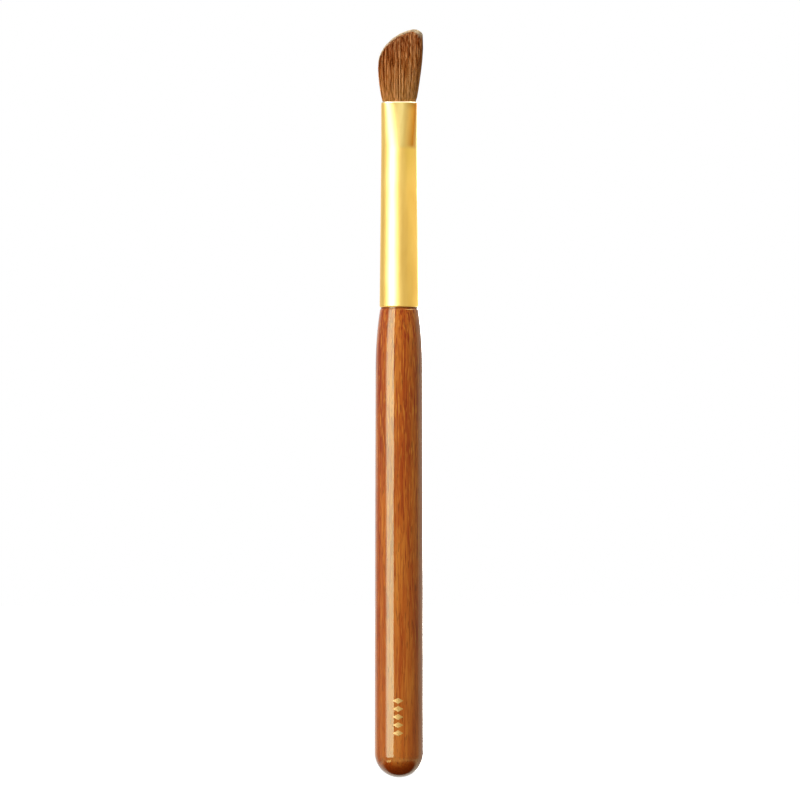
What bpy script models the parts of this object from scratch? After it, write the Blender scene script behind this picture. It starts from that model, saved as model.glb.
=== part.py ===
"""Concealer brush: a turned wooden handle, a gold ferrule and a slanted tuft of brown hair.

The brush stands on the tip of its butt at the origin, with +Z along its axis and the tall
corner of the slanted tuft towards +X. All sizes are in metres.
"""

import math
import random

import bmesh
import bpy
from mathutils import Matrix, Vector

COLLECTION_NAME = "concealer_brush"

# Clearance left between two pieces that touch on the real brush
FIT_GAP = 0.0003

# Wooden handle, measured from the tip of its butt
HANDLE_LENGTH = 0.1002
BUTT_RADIUS = 0.00526
NECK_RADIUS = 0.00505
NECK_LENGTH = 0.0142
SHOULDER_RADIUS = 0.00409
SHOULDER_ROUNDING = 0.00024
TAPER_POWER = 1.5
NECK_POWER = 2.5
TENON_CHAMFER = 0.0004

# Ferrule, a tapering tube that is pressed oval over its last stretch
FERRULE_LENGTH = 0.0439
FERRULE_BASE_RADIUS = 0.004205
FERRULE_NECK_RADIUS = 0.003856
FERRULE_WALL = 0.0004
FERRULE_RIM_ROUNDING = 0.00036
LARGEST_ROUNDING_SHARE = 0.9
PRESS_LENGTH = 0.0098
PRESS_POWER = 1.2
MOUTH_WIDTH = 0.007756
MOUTH_THICKNESS = 0.0061
MOUTH_SQUARENESS = 2.7
ROUND_SQUARENESS = 2.0

# Glue film round the tenon, keyed into turned grooves
GLUE_THICKNESS = 0.0002
GLUE_SETBACK = 0.0015
GLUE_KEYS = 3
GLUE_KEY_WIDTH = 0.0014
GLUE_KEY_DEPTH = 0.0006

# Root of the hair bundle inside the ferrule, with its thread and the resin behind it
ROOT_RECESS = 0.0004
ROOT_COLLAR = 0.0012
THREAD_DEPTH = 0.0104
THREAD_DIAMETER = 0.0005
THREAD_TURNS = 5
THREAD_BAND = 0.00035
PLUG_LENGTH = 0.0048
PLUG_DISH = 0.0004

# Free length of the hair and the outline that its strands follow
TUFT_HEIGHT = 0.0156
LEFT_BELLY = 0.00452
LEFT_BELLY_HEIGHT = 0.0072
RIGHT_BELLY = 0.00536
RIGHT_BELLY_HEIGHT = 0.0122
BELLY_THICKNESS = 0.0066
BELLY_THICKNESS_HEIGHT = 0.0052
TIP_THICKNESS = 0.0032
BELLY_HOLD = 1.3

# Slanted and rounded cut of the tips, in shares of the bundle's half width
PEAK_PLACE = 0.62
LEFT_DROP = 0.0077
SLANT_POWER = 0.72
RIGHT_DROP = 0.0012
SIDE_DROP = 0.0016
DROP_ROUNDNESS = 0.99

# Strands, three-sided, which grow out of the cells of the root's face
STRAND_RINGS = 8
CELL_TURN = math.radians(17)
STRAND_GAP = 0.00006
STRAND_FIRST_BEND = 0.0026
STRAND_SECOND_BEND = 0.0076
STRAND_SHORTEST_END = 0.0008
STRAND_BEND_FULLNESS = 0.92
STRAND_TIP_FULLNESS = 0.5
STRAND_UNEVENNESS = 0.00025
OUTER_STRANDS_FROM = 0.82
STRAND_SEED = 11

# How finely round shapes are divided
HEXAGON_SIDES = 6
ROUND_STEPS = 48
HIDDEN_STEPS = 24
BUTT_STEPS = 9
GRIP_STEPS = 5
NECK_STEPS = 8
RIM_STEPS = 3
PRESS_STEPS = 7
ROOT_STEPS = 3
SHOULDER_STEPS = 3
THREAD_RIB_STEPS = 3
DISH_STEPS = 2
MERGE_DISTANCE = 0.00001

# Heights that follow from the sizes above
FERRULE_BASE = HANDLE_LENGTH + FIT_GAP
MOUTH = FERRULE_BASE + FERRULE_LENGTH
PRESS_START = MOUTH - PRESS_LENGTH
ROOT_FACE = MOUTH - ROOT_RECESS
THREAD_TOP = MOUTH - THREAD_DEPTH
THREAD_BOTTOM = THREAD_TOP - THREAD_TURNS * THREAD_DIAMETER
ROOT_END = THREAD_BOTTOM - FIT_GAP - ROOT_COLLAR
PLUG_TOP = ROOT_END - FIT_GAP
PLUG_BOTTOM = PLUG_TOP - PLUG_LENGTH
TENON_TOP = PLUG_BOTTOM - FIT_GAP
GLUE_BOTTOM = FERRULE_BASE + GLUE_SETBACK
GLUE_TOP = TENON_TOP - GLUE_SETBACK


def clear_scene():
    """Remove every object of the open scene."""
    for item in list(bpy.data.objects):
        bpy.data.objects.remove(item, do_unlink=True)


def make_collection(name):
    """Make the collection that holds the brush."""
    collection = bpy.data.collections.new(name)
    bpy.context.scene.collection.children.link(collection)
    return collection


def make_material(name, colour, roughness, metallic=0.0):
    """Make a plain Principled material."""
    material = bpy.data.materials.new(name)
    material.use_nodes = True
    shader = material.node_tree.nodes["Principled BSDF"]
    shader.inputs["Base Color"].default_value = (*colour, 1.0)
    shader.inputs["Roughness"].default_value = roughness
    shader.inputs["Metallic"].default_value = metallic
    material.diffuse_color = (*colour, 1.0)
    return material


def add_object(name, mesh, material, collection):
    """Put a mesh in the collection as a named object with its own material."""
    mesh.materials.append(material)
    piece = bpy.data.objects.new(name, mesh)
    collection.objects.link(piece)
    return piece


def turned(name, profile, closed, steps, material, collection):
    """Turn a profile of (radius, height) points, listed down its outer side, about Z."""
    mesh = bpy.data.meshes.new(name)
    points = [(radius, 0.0, height) for radius, height in profile]
    edges = [(index, index + 1) for index in range(len(points) - 1)]
    if closed:
        edges.append((len(points) - 1, 0))
    mesh.from_pydata(points, edges, [])
    piece = add_object(name, mesh, material, collection)
    screw = piece.modifiers.new("Turning", "SCREW")
    screw.axis = "Z"
    screw.steps = steps
    screw.render_steps = steps
    screw.use_merge_vertices = True
    screw.merge_threshold = MERGE_DISTANCE
    screw.use_smooth_shade = True
    return piece


def finish_mesh(mesh_builder, name, material, collection):
    """Turn a closed bmesh into a named object with its faces pointing out."""
    bmesh.ops.recalc_face_normals(mesh_builder, faces=mesh_builder.faces)
    mesh = bpy.data.meshes.new(name)
    mesh_builder.to_mesh(mesh)
    mesh_builder.free()
    return add_object(name, mesh, material, collection)


def blend(first, second, share):
    """Blend from one value to another."""
    return first + (second - first) * share


def signed_power(value, power):
    """Raise a value to a power and keep its sign."""
    return math.copysign(abs(value) ** power, value)


def section_point(half_width, half_thickness, squareness, turn, height):
    """Point at an angle on a rounded oval section."""
    power = 2 / squareness
    return Vector((
        half_width * signed_power(math.cos(turn), power),
        half_thickness * signed_power(math.sin(turn), power),
        height,
    ))


def ferrule_section(height, inset):
    """Half width, half thickness and squareness of the ferrule, a distance inside its skin."""
    along = (min(height, PRESS_START) - FERRULE_BASE) / (PRESS_START - FERRULE_BASE)
    pressed = max(0.0, (height - PRESS_START) / PRESS_LENGTH)
    tube_radius = blend(FERRULE_BASE_RADIUS, FERRULE_NECK_RADIUS, along)
    half_width = blend(tube_radius, MOUTH_WIDTH / 2, pressed)
    half_thickness = blend(tube_radius, MOUTH_THICKNESS / 2, pressed ** PRESS_POWER)
    squareness = blend(ROUND_SQUARENESS, MOUTH_SQUARENESS, pressed)
    return half_width - inset, half_thickness - inset, squareness


def bore_section(height):
    """Section of what fits in the ferrule with the usual clearance."""
    return ferrule_section(height, FERRULE_WALL + FIT_GAP)


def bore_radius(height):
    """Largest radius of a round piece that fits in the ferrule with the usual clearance."""
    half_width, half_thickness, _ = bore_section(height)
    return min(half_width, half_thickness)


def section_ring(height, section, turns):
    """Points of a section at the given angles."""
    half_width, half_thickness, squareness = section
    return [section_point(half_width, half_thickness, squareness, turn, height) for turn in turns]


def even_turns():
    """Angles spread evenly round a section."""
    return [math.tau * step / ROUND_STEPS for step in range(ROUND_STEPS)]


def bridge(mesh, lower, upper):
    """Join two loops of the same number of vertices with a band of faces."""
    for step in range(len(lower)):
        following = (step + 1) % len(lower)
        mesh.faces.new((lower[step], lower[following], upper[following], upper[step]))


def new_loop(mesh, points):
    """Add one vertex for each point."""
    return [mesh.verts.new(point) for point in points]


def handle_radius(height):
    """Outer radius of the handle: a slight taper, then the neck drawn in to the shoulder."""
    along = max(0.0, (height - BUTT_RADIUS) / (HANDLE_LENGTH - BUTT_RADIUS))
    into_neck = max(0.0, (height - HANDLE_LENGTH + NECK_LENGTH) / NECK_LENGTH)
    tapered = blend(BUTT_RADIUS, NECK_RADIUS, along ** TAPER_POWER)
    return tapered - (NECK_RADIUS - SHOULDER_RADIUS) * into_neck ** NECK_POWER


def tenon_radius(height):
    """Radius of the tenon, which leaves room for the glue film in the ferrule."""
    return bore_radius(height) - GLUE_THICKNESS - FIT_GAP


def key_centres():
    """Heights of the glue keys, spread evenly along the film."""
    pitch = (GLUE_TOP - GLUE_BOTTOM) / GLUE_KEYS
    return [GLUE_TOP - pitch * (index + 0.5) for index in range(GLUE_KEYS)]


def tenon_profile():
    """Tenon from its top end down to the shoulder, with the grooves for the glue keys."""
    points = [
        (0.0, TENON_TOP),
        (tenon_radius(TENON_TOP) - TENON_CHAMFER, TENON_TOP),
        (tenon_radius(TENON_TOP), TENON_TOP - TENON_CHAMFER),
    ]
    half_groove = GLUE_KEY_WIDTH / 2 + FIT_GAP
    for centre in key_centres():
        top = centre + half_groove
        bottom = centre - half_groove
        points += [
            (tenon_radius(top), top),
            (tenon_radius(top) - GLUE_KEY_DEPTH, top),
            (tenon_radius(bottom) - GLUE_KEY_DEPTH, bottom),
            (tenon_radius(bottom), bottom),
        ]
    points.append((tenon_radius(HANDLE_LENGTH), HANDLE_LENGTH))
    return points


def shoulder_profile():
    """Rounded edge between the shoulder's face and the neck."""
    points = []
    for step in range(SHOULDER_STEPS + 1):
        angle = math.pi / 2 * step / SHOULDER_STEPS
        height = HANDLE_LENGTH - SHOULDER_ROUNDING * (1 - math.cos(angle))
        radius = handle_radius(height) - SHOULDER_ROUNDING * (1 - math.sin(angle))
        points.append((radius, height))
    return points


def grip_profile():
    """Neck and grip from below the shoulder's edge down to the start of the butt."""
    points = []
    neck_top = HANDLE_LENGTH - SHOULDER_ROUNDING
    neck_base = HANDLE_LENGTH - NECK_LENGTH
    for step in range(1, NECK_STEPS + 1):
        height = blend(neck_top, neck_base, step / NECK_STEPS)
        points.append((handle_radius(height), height))
    for step in range(1, GRIP_STEPS + 1):
        height = blend(neck_base, BUTT_RADIUS, step / GRIP_STEPS)
        points.append((handle_radius(height), height))
    return points


def butt_profile():
    """Round butt, a half ball that ends on the axis."""
    points = []
    for step in range(1, BUTT_STEPS):
        angle = math.pi / 2 * step / BUTT_STEPS
        points.append((BUTT_RADIUS * math.cos(angle), BUTT_RADIUS * (1 - math.sin(angle))))
    points.append((0.0, 0.0))
    return points


def make_handle(collection):
    """Wooden handle with its tenon."""
    wood = make_material("lacquered_wood", (0.47, 0.13, 0.024), 0.18)
    profile = tenon_profile() + shoulder_profile() + grip_profile() + butt_profile()
    return turned("wooden_handle", profile, False, ROUND_STEPS, wood, collection)


def ferrule_levels():
    """Heights and insets round the ferrule's wall: up its outside and down its inside."""
    rounding = min(FERRULE_RIM_ROUNDING, FERRULE_WALL * LARGEST_ROUNDING_SHARE)
    levels = [(FERRULE_BASE, FERRULE_WALL)]
    for step in range(RIM_STEPS + 1):
        angle = math.pi / 2 * step / RIM_STEPS
        inset = rounding * (1 - math.sin(angle))
        levels.append((FERRULE_BASE + rounding * (1 - math.cos(angle)), inset))
    for step in range(PRESS_STEPS):
        levels.append((blend(PRESS_START, MOUTH - rounding, step / PRESS_STEPS), 0.0))
    for step in range(RIM_STEPS + 1):
        angle = math.pi / 2 * step / RIM_STEPS
        inset = rounding * (1 - math.cos(angle))
        levels.append((MOUTH - rounding * (1 - math.sin(angle)), inset))
    for step in range(PRESS_STEPS + 1):
        levels.append((blend(MOUTH, PRESS_START, step / PRESS_STEPS), FERRULE_WALL))
    return levels


def make_ferrule(collection):
    """Ferrule, lofted round its wall because its section turns from round to oval."""
    gold = make_material("gold_anodised_metal", (0.83, 0.55, 0.15), 0.3, 1.0)
    mesh = bmesh.new()
    turns = even_turns()
    loops = []
    for height, inset in ferrule_levels():
        ring = section_ring(height, ferrule_section(height, inset), turns)
        loops.append(new_loop(mesh, ring))
    for index, loop in enumerate(loops):
        bridge(mesh, loop, loops[(index + 1) % len(loops)])
    return finish_mesh(mesh, "ferrule", gold, collection)


def make_glue_film(collection):
    """Sleeve of cured glue with a key in each groove of the tenon."""
    glue = make_material("cured_glue", (0.75, 0.68, 0.5), 0.4)
    outer = [(bore_radius(height), height) for height in (GLUE_TOP, GLUE_BOTTOM)]
    inner = [(tenon_radius(GLUE_BOTTOM) + FIT_GAP, GLUE_BOTTOM)]
    half_key = GLUE_KEY_WIDTH / 2
    for centre in reversed(key_centres()):
        top = centre + half_key
        bottom = centre - half_key
        inner += [
            (tenon_radius(bottom) + FIT_GAP, bottom),
            (tenon_radius(bottom) + FIT_GAP - GLUE_KEY_DEPTH, bottom),
            (tenon_radius(top) + FIT_GAP - GLUE_KEY_DEPTH, top),
            (tenon_radius(top) + FIT_GAP, top),
        ]
    inner.append((tenon_radius(GLUE_TOP) + FIT_GAP, GLUE_TOP))
    return turned("tenon_glue_film", outer + inner, True, HIDDEN_STEPS, glue, collection)


def thread_outer_radius():
    """Outer radius of the binding, which just clears the ferrule's bore at its top turn."""
    return bore_radius(THREAD_TOP)


def thread_inner_radius():
    """Inner radius of the binding."""
    return thread_outer_radius() - THREAD_DIAMETER / 2 - THREAD_BAND


def make_binding_thread(collection):
    """Binding of thread round the root: turns side by side, as ribs on one band."""
    thread = make_material("waxed_thread", (0.8, 0.77, 0.7), 0.8)
    profile = []
    crest = THREAD_DIAMETER / 2
    valley_radius = thread_outer_radius() - crest
    for turn in range(THREAD_TURNS):
        centre = THREAD_TOP - THREAD_DIAMETER * (turn + 0.5)
        for step in range(THREAD_RIB_STEPS):
            angle = math.pi * step / THREAD_RIB_STEPS
            profile.append((valley_radius + crest * math.sin(angle), centre + crest * math.cos(angle)))
    profile.append((valley_radius, THREAD_BOTTOM))
    profile.append((thread_inner_radius(), THREAD_BOTTOM))
    profile.append((thread_inner_radius(), THREAD_TOP))
    return turned("root_binding_thread", profile, True, HIDDEN_STEPS, thread, collection)


def make_resin_plug(collection):
    """Resin behind the root, with the shallow dish that it sets with."""
    resin = make_material("amber_resin", (0.62, 0.33, 0.06), 0.15)
    profile = [
        (0.0, PLUG_TOP),
        (bore_radius(PLUG_TOP), PLUG_TOP),
        (bore_radius(PLUG_BOTTOM), PLUG_BOTTOM),
    ]
    for step in range(1, DISH_STEPS + 1):
        share = 1 - step / DISH_STEPS
        rise = PLUG_DISH * (1 - share * share)
        profile.append((bore_radius(PLUG_BOTTOM) * share, PLUG_BOTTOM + rise))
    return turned("root_resin_plug", profile, False, HIDDEN_STEPS, resin, collection)


def belly_curve(height, belly_height):
    """Share of the way from the mouth's size to the belly's size, at a height above the mouth."""
    return math.sin(math.pi / 2 * min(height / belly_height, BELLY_HOLD))


def tuft_half_width(side, height):
    """Half width of the tuft at a height above the mouth, on its left or its right."""
    mouth = MOUTH_WIDTH / 2 - FERRULE_WALL
    if side < 0:
        return blend(mouth, LEFT_BELLY, belly_curve(height, LEFT_BELLY_HEIGHT))
    return blend(mouth, RIGHT_BELLY, belly_curve(height, RIGHT_BELLY_HEIGHT))


def tuft_half_thickness(height):
    """Half thickness of the tuft at a height above the mouth."""
    mouth = MOUTH_THICKNESS / 2 - FERRULE_WALL
    if height < BELLY_THICKNESS_HEIGHT:
        return blend(mouth, BELLY_THICKNESS / 2, belly_curve(height, BELLY_THICKNESS_HEIGHT))
    above = (height - BELLY_THICKNESS_HEIGHT) / (TUFT_HEIGHT - BELLY_THICKNESS_HEIGHT)
    return blend(BELLY_THICKNESS / 2, TIP_THICKNESS / 2, min(above, 1.0) ** 2)


def tuft_point(mark, height):
    """Place of a strand at a height above the mouth; mark is its place in the unit section."""
    return Vector((
        mark.x * tuft_half_width(mark.x, height),
        mark.y * tuft_half_thickness(height),
        MOUTH + height,
    ))


def round_drop(share):
    """Drop of a quarter round at a share of its reach, from 0 at the peak."""
    reach = DROP_ROUNDNESS * min(share, 1.0)
    return 1 - math.sqrt(1 - reach * reach)


def tip_height(mark):
    """Height above the mouth at which a strand ends, for the slanted and rounded cut."""
    if mark.x < PEAK_PLACE:
        share = (PEAK_PLACE - mark.x) / (PEAK_PLACE + 1)
        slant = LEFT_DROP * round_drop(share ** SLANT_POWER)
    else:
        share = (mark.x - PEAK_PLACE) / (1 - PEAK_PLACE)
        slant = RIGHT_DROP * round_drop(share)
    side = SIDE_DROP * round_drop(abs(mark.y))
    return TUFT_HEIGHT - slant - side - mark.z


def strand_cells(mesh):
    """Divide a hexagon into triangular cells and round it into a unit disc."""
    bmesh.ops.create_circle(mesh, cap_ends=True, cap_tris=True, segments=HEXAGON_SIDES, radius=1.0)
    bmesh.ops.subdivide_edges(
        mesh, edges=mesh.edges, cuts=STRAND_RINGS - 1, use_grid_fill=True)
    sector = math.tau / HEXAGON_SIDES
    for vert in mesh.verts:
        if vert.co.length < MERGE_DISTANCE:
            continue
        turn = math.atan2(vert.co.x, vert.co.y)
        off_middle = turn % sector - sector / 2
        vert.co *= math.cos(off_middle) / math.cos(sector / 2)
    bmesh.ops.rotate(mesh, verts=mesh.verts, matrix=Matrix.Rotation(CELL_TURN, 3, "Z"))


def rim_in_order(mesh):
    """Vertices of the disc's rim and their angles, in order round it."""
    rim = {vert for edge in mesh.edges if edge.is_boundary for vert in edge.verts}
    turned_rim = sorted((math.atan2(vert.co.y, vert.co.x) % math.tau, vert.index) for vert in rim)
    mesh.verts.ensure_lookup_table()
    return [mesh.verts[index] for _, index in turned_rim], [turn for turn, _ in turned_rim]


def root_levels():
    """Heights and sections of the root from below its face down to its end."""
    waist = thread_inner_radius() - FIT_GAP
    waist_section = (waist, waist, ROUND_SQUARENESS)
    waist_top = THREAD_TOP + FIT_GAP
    waist_bottom = THREAD_BOTTOM - FIT_GAP
    levels = []
    for step in range(1, ROOT_STEPS + 1):
        height = blend(ROOT_FACE, waist_top, step / ROOT_STEPS)
        levels.append((height, bore_section(height)))
    levels.append((waist_top, waist_section))
    levels.append((waist_bottom, waist_section))
    levels.append((waist_bottom, bore_section(waist_bottom)))
    levels.append((ROOT_END, bore_section(ROOT_END)))
    return levels


def raise_strands(mesh, faces, marks, bend, fullness):
    """Raise each strand's end face to a bend, or to its tip where no bend is given."""
    raised = bmesh.ops.extrude_discrete_faces(mesh, faces=faces)["faces"]
    for face in raised:
        corners = [vert[marks].copy() for vert in face.verts]
        centre = sum(corners, Vector()) / len(corners)
        tip = tip_height(centre)
        level = tip if bend is None else min(bend, tip - STRAND_SHORTEST_END)
        for vert, corner in zip(face.verts, corners):
            vert.co = tuft_point(centre.lerp(corner, fullness), level)
    return raised


def make_tuft(collection):
    """Hair: strands grown from the cells of the root's face, in one body with the root."""
    hair = make_material("brown_hair", (0.26, 0.08, 0.018), 0.5)
    mesh = bmesh.new()
    strand_cells(mesh)
    mesh.verts.index_update()
    rim, turns = rim_in_order(mesh)
    half_width, half_thickness, squareness = bore_section(ROOT_FACE)
    for vert in mesh.verts:
        share = vert.co.length
        turn = math.atan2(vert.co.y, vert.co.x)
        vert.co = section_point(half_width * share, half_thickness * share, squareness, turn, ROOT_FACE)
    cells = list(mesh.faces)
    upper = rim
    for height, section in root_levels():
        lower = new_loop(mesh, section_ring(height, section, turns))
        bridge(mesh, lower, upper)
        upper = lower
    mesh.faces.new(upper)

    bmesh.ops.inset_individual(mesh, faces=cells, thickness=STRAND_GAP / 2)
    marks = mesh.verts.layers.float_vector.new("strand_place")
    lengths = random.Random(STRAND_SEED)
    for cell in cells:
        shorter = lengths.uniform(0.0, STRAND_UNEVENNESS)
        for vert in cell.verts:
            vert[marks] = (vert.co.x / half_width, vert.co.y / half_thickness, shorter)
    strands = raise_strands(mesh, cells, marks, STRAND_FIRST_BEND, STRAND_BEND_FULLNESS)
    outer = []
    inner = []
    for strand in strands:
        centre = sum((vert[marks] for vert in strand.verts), Vector()) / len(strand.verts)
        (outer if centre.xy.length > OUTER_STRANDS_FROM else inner).append(strand)
    outer = raise_strands(mesh, outer, marks, STRAND_SECOND_BEND, STRAND_BEND_FULLNESS)
    raise_strands(mesh, outer + inner, marks, None, STRAND_TIP_FULLNESS)
    return finish_mesh(mesh, "hair_tuft", hair, collection)


def main():
    """Build the brush."""
    clear_scene()
    collection = make_collection(COLLECTION_NAME)
    make_handle(collection)
    make_ferrule(collection)
    make_glue_film(collection)
    make_resin_plug(collection)
    make_binding_thread(collection)
    make_tuft(collection)


main()
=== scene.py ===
"""Concealer brush: lacquered wooden handle, gold ferrule and brown hair, dressed round its frame.

The brush stands upright on +Z with the tip of its butt at the origin, and the tall corner of
its slanted tuft is towards +X. All sizes are in metres.
"""

import logging
import math
import random
from collections.abc import Iterable, Sequence
from dataclasses import dataclass, field
from enum import Enum
from functools import cache
from typing import ClassVar, NamedTuple

import bmesh
import bpy
from mathutils import Matrix, Vector
from mathutils.kdtree import KDTree


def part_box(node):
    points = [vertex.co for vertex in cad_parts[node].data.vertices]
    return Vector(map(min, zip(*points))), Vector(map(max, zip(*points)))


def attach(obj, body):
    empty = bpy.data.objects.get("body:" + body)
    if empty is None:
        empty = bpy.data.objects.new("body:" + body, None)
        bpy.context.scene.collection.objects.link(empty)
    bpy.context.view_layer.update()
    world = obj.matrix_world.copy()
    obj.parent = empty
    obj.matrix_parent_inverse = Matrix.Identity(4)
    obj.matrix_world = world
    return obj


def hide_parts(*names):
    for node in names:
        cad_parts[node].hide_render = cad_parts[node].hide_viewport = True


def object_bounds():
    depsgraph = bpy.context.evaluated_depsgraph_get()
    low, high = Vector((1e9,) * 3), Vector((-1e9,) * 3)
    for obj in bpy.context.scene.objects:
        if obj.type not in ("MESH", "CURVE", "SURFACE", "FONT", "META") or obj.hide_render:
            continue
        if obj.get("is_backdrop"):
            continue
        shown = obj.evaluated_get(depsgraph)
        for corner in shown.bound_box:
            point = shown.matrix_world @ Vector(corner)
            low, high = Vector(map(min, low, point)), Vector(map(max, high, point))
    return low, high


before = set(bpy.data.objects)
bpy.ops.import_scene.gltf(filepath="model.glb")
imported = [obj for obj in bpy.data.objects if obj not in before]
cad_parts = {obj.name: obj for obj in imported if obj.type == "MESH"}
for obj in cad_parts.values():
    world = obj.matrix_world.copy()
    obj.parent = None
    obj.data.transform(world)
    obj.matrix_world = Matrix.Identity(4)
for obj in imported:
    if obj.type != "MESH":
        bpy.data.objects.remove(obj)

Socket = bpy.types.NodeSocket

LOG = logging.getLogger("brush")
MM = 0.001
BODY = "root"
WELD_DISTANCE = 0.001 * MM
SHARP_ANGLE = math.radians(35)
ROUND = 2.0
HAIR_LOOK = ("along", "tone", "tip_distance", "pale_length")
MATH = "ShaderNodeMath"
VECTOR_MATH = "ShaderNodeVectorMath"
MAP_RANGE = "ShaderNodeMapRange"
SEPARATE = "ShaderNodeSeparateXYZ"
COMBINE = "ShaderNodeCombineXYZ"


class Level(NamedTuple):
    """One section of a lofted piece: its height, half sizes and squareness, 2 for round."""

    height: float
    half_width: float
    half_thickness: float
    squareness: float = ROUND


class Marks(NamedTuple):
    """Marks of one kind in a surface, drawn by noise that is 0.5 in the mean.

    The fields are a mark's size across and along the brush, the noise's octaves, an offset that
    makes one noise unlike another, and the values at which a mark sets in and is at its full.
    """

    across: float
    along: float
    detail: float = 2.0
    shift: float = 0.0
    start: float = 0.0
    full: float = 1.0


class Tone(NamedTuple):
    """Colour of a colour ramp, as a hex value, and its place on the ramp."""

    place: float
    colour: str


class Patch(NamedTuple):
    """Colour laid over a surface where a pattern's value passes from start to full.

    The last field is its largest cover. A node's output may take the place of each number.
    """

    colour: str
    start: float | Socket
    full: float | Socket
    most: float | Socket = 0.85


def linear(hex_colour: str) -> tuple[float, float, float, float]:
    """Turn an sRGB hex colour into linear red, green, blue and alpha.

    Args:
        hex_colour: Six hex digits after a hash.

    Returns:
        The linear colour with an alpha of 1.
    """
    channels = []
    for start in (1, 3, 5):
        value = int(hex_colour[start:start + 2], 16) / 255
        channels.append(value / 12.92 if value <= 0.04045 else ((value + 0.055) / 1.055) ** 2.4)
    return (*channels, 1.0)


def blend(first: float, second: float, share: float) -> float:
    """Blend from one value to another by a share from 0 to 1."""
    return first + (second - first) * share


def rounded_square(turn: float, squareness: float) -> tuple[float, float]:
    """Give a point of the unit rounded section at an angle.

    Args:
        turn: The angle.
        squareness: 2 for a circle, more for flatter sides.

    Returns:
        The point's two coordinates.
    """
    across = math.cos(turn)
    through = math.sin(turn)
    reach = (abs(across) ** squareness + abs(through) ** squareness) ** (-1 / squareness)
    return across * reach, through * reach


def find_socket(sockets: Iterable[Socket], name: str | int) -> Socket:
    """Find one of a node's sockets.

    Args:
        sockets: The node's inputs or outputs.
        name: The socket's place, identifier or name.

    Returns:
        The first socket that matches.
    """
    for place, item in enumerate(sockets):
        if name in (place, item.identifier, item.name):
            return item
    raise KeyError(name)


@dataclass
class Net:
    """A node tree while it is being wired."""

    tree: bpy.types.NodeTree

    def node(self, kind: str, inputs: Sequence | dict = (), output: str | int = 0,
             stops: Sequence[Tone] = (), **settings) -> Socket:
        """Add a node to the tree, with its settings, values and links.

        Args:
            kind: The node's type name.
            inputs: The values, or the outputs that feed them, in the order of the node's sockets
                or under a socket's place, identifier or name.
            output: Place, identifier or name of the output that is wanted.
            stops: Tones of a colour ramp, in rising order.
            **settings: Attributes of the node itself.

        Returns:
            The wanted output, whose node holds the others.
        """
        node = self.tree.nodes.new(kind)
        for name, value in settings.items():
            setattr(node, name, value)
        for name, value in inputs.items() if isinstance(inputs, dict) else enumerate(inputs):
            if isinstance(value, Socket):
                self.tree.links.new(value, find_socket(node.inputs, name))
            else:
                find_socket(node.inputs, name).default_value = value
        for index, stop in enumerate(stops):
            elements = node.color_ramp.elements
            element = elements[index] if index < len(elements) else elements.new(stop.place)
            element.position = stop.place
            element.color = linear(stop.colour)
        return find_socket(node.outputs, output)


@dataclass
class Draft(Net):
    """A Principled material while a finish is making it."""

    material: bpy.types.Material
    shader: bpy.types.Node
    place: Socket

    @classmethod
    def start(cls, name: str, **values: float) -> "Draft":
        """Start a material.

        Args:
            name: The material's name.
            **values: Plain values of the shader, with underscores for spaces.

        Returns:
            The draft, with the piece's own coordinates in metres as its place.
        """
        material = bpy.data.materials.new(name)
        material.use_nodes = True
        tree = material.node_tree
        shader = tree.nodes["Principled BSDF"]
        for label, value in values.items():
            shader.inputs[label.replace("_", " ")].default_value = value
        place = Net(tree).node("ShaderNodeTexCoord", output="Object")
        return cls(tree, material, shader, place)

    def sway(self, along: float, reach: float) -> None:
        """Let the marks that follow wander aside.

        Args:
            along: Length of a bend along the brush.
            reach: How far a bend goes aside.
        """
        bends = self.node("ShaderNodeTexNoise", {"Vector": self.place, "Scale": 1 / along}, "Color")
        aside = self.node(VECTOR_MATH, (bends, (reach, reach, 0.0)), operation="MULTIPLY")
        self.place = self.node(VECTOR_MATH, (self.place, aside), operation="ADD")

    def grain(self, marks: Marks) -> Socket:
        """Add the noise that draws marks and give its value."""
        stretched = self.node("ShaderNodeMapping", {
            "Vector": self.place,
            "Location": (marks.shift, marks.shift, marks.shift),
            "Scale": (1 / marks.across, 1 / marks.across, 1 / marks.along),
        })
        return self.node("ShaderNodeTexNoise", {"Vector": stretched, "Scale": 1.0, "Detail": marks.detail})

    def laid_over(self, under: Socket, pattern: Socket, patch: Patch) -> Socket:
        """Lay a patch over a colour.

        Args:
            under: The colour under it.
            pattern: The pattern that it follows.
            patch: Its colour, and the pattern's values that bound it.

        Returns:
            The colour of both.
        """
        cover = self.node(MAP_RANGE, (pattern, patch.start, patch.full, 0.0, patch.most))
        return self.node("ShaderNodeMix", {
            "Factor_Float": cover, "A_Color": under, "B_Color": linear(patch.colour)}, "Result_Color",
            data_type="RGBA")

    def feed(self, name: str, value: Socket) -> None:
        """Link a value to one of the shader's sockets."""
        self.tree.links.new(value, self.shader.inputs[name])


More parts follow.
